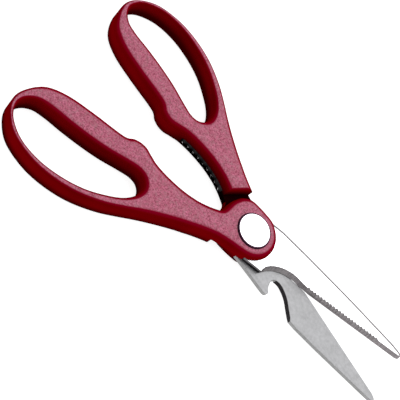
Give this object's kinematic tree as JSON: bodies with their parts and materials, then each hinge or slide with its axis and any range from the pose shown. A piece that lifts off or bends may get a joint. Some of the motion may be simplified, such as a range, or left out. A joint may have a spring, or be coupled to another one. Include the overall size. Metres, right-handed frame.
{
  "type": "poultry shears",
  "caption": "Kitchen and poultry shears with moulded looped handles, a serrated blade, bone notch, bottle opener hook and toothed jar grip.",
  "frame": {"origin": "centre of the flat rear cap's outer face, on the pivot axis", "axes": "+X towards the blade tips along the line that halves the opening, +Z along the pivot axis out of the front face, -Z the side the shears rest on"},
  "size_m": [0.2116, 0.113, 0.0126],
  "materials": {
    "front_handle": "satin, finely textured",
    "front_blade": "satin ground",
    "front_jar_jaw": "plain stamped",
    "front_cap": "polished",
    "rear_handle": "satin, finely textured",
    "rear_blade": "satin ground",
    "rear_jar_jaw": "plain stamped",
    "rear_cap": "polished",
    "pivot_screw": "zinc plated",
    "spring_washer": "zinc plated",
    "pivot_nut": "zinc plated"
  },
  "bodies": {
    "front_half": {"front_blade": "front_blade", "front_handle": "front_handle", "front_jar_jaw": "front_jar_jaw", "front_cap": "front_cap", "pivot_screw": "pivot_screw", "spring_washer": "spring_washer", "pivot_nut": "pivot_nut"},
    "rear_half": {"rear_blade": "rear_blade", "rear_handle": "rear_handle", "rear_jar_jaw": "rear_jar_jaw", "rear_cap": "rear_cap"}
  },
  "joints": [
    {"name": "pivot", "type": "hinge", "parent": "front_half", "child": "rear_half", "pos_m": [0, 0, 0], "axis": [0, 0, 1], "range_deg": [-76, 16]}
  ]
}
